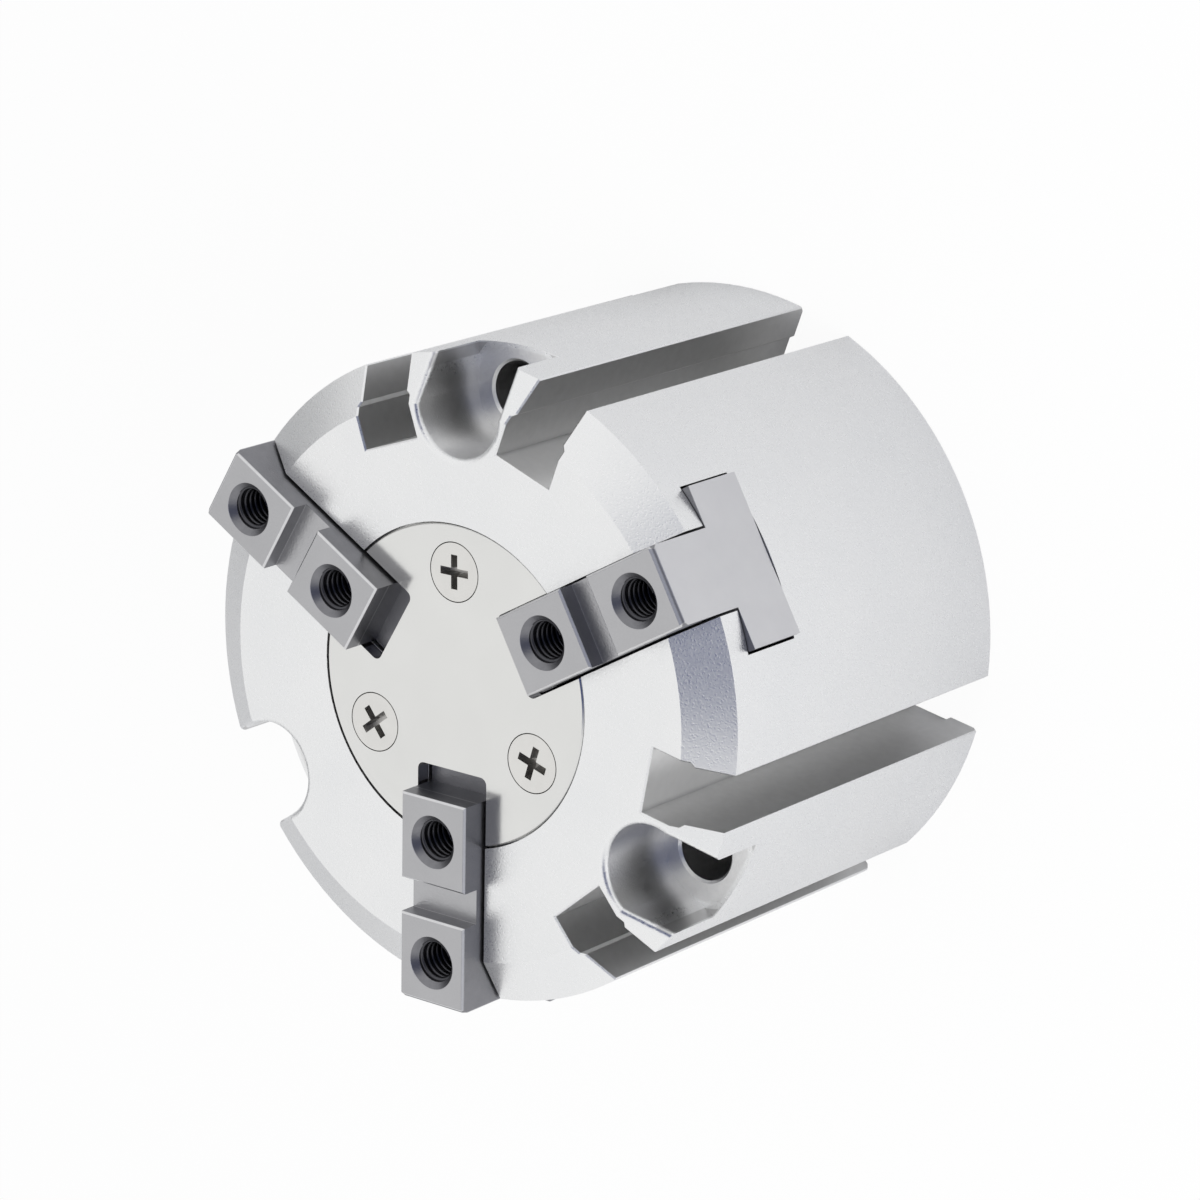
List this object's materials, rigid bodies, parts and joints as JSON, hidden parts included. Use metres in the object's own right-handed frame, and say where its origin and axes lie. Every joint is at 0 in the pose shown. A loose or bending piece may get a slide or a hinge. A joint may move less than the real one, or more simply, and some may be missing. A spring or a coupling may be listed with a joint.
{
  "type": "pneumatic parallel gripper",
  "caption": "Round pneumatic gripper: jaws of T section slide radially in a short cylindrical housing, driven by a wedge cam on a hidden piston.",
  "frame": {"origin": "centre of the rear mounting face, on the housing's axis", "axes": "+Z along the housing's axis towards the jaws; +X is the sliding direction of jaw_2; +Y completes a right-handed set"},
  "size_m": [0.062, 0.062, 0.0463],
  "materials": {
    "hard_anodised_aluminium": "satin",
    "plate_metal": "satin",
    "screw_steel": "satin",
    "jaw_steel": "satin",
    "cam_steel": "satin",
    "piston_aluminium": "satin",
    "seal_rubber": "matte",
    "wear_plastic": "matte",
    "magnet": "matte",
    "holder_brass": "satin",
    "spring_steel": "satin"
  },
  "bodies": {
    "housing": {"body": "hard_anodised_aluminium", "cover_plate": "plate_metal", "cover_screw_1": "screw_steel", "cover_screw_2": "screw_steel", "cover_screw_3": "screw_steel", "front_bumper": "seal_rubber", "rear_bumper": "seal_rubber", "rod_seal": "seal_rubber", "end_cap": "piston_aluminium", "cap_o_ring": "seal_rubber", "retaining_ring": "spring_steel"},
    "piston_unit": {"wedge_cam": "cam_steel", "piston": "piston_aluminium", "piston_bolt": "screw_steel", "bolt_gasket": "seal_rubber", "piston_seal": "seal_rubber", "wear_ring": "wear_plastic", "magnet_ring": "magnet", "magnet_holder": "holder_brass"},
    "jaw_1_unit": {"jaw_1": "jaw_steel"},
    "jaw_2_unit": {"jaw_2": "jaw_steel"},
    "jaw_3_unit": {"jaw_3": "jaw_steel"}
  },
  "joints": [
    {"name": "piston_slide", "type": "slide", "parent": "housing", "child": "piston_unit", "axis": [0, 0, 1], "range_m": [-0.0025, 0.0025]},
    {"name": "jaw_1_slide", "type": "slide", "parent": "housing", "child": "jaw_1_unit", "axis": [-0.5, 0.866, 0], "range_m": [-0.002, 0.002]},
    {"name": "jaw_2_slide", "type": "slide", "parent": "housing", "child": "jaw_2_unit", "axis": [1, 0, 0], "range_m": [-0.002, 0.002]},
    {"name": "jaw_3_slide", "type": "slide", "parent": "housing", "child": "jaw_3_unit", "axis": [-0.5, -0.866, 0], "range_m": [-0.002, 0.002]}
  ],
  "couplings": [
    {"joint": "jaw_1_slide", "follows": "piston_slide", "ratio": 0.8},
    {"joint": "jaw_2_slide", "follows": "piston_slide", "ratio": 0.8},
    {"joint": "jaw_3_slide", "follows": "piston_slide", "ratio": 0.8}
  ]
}
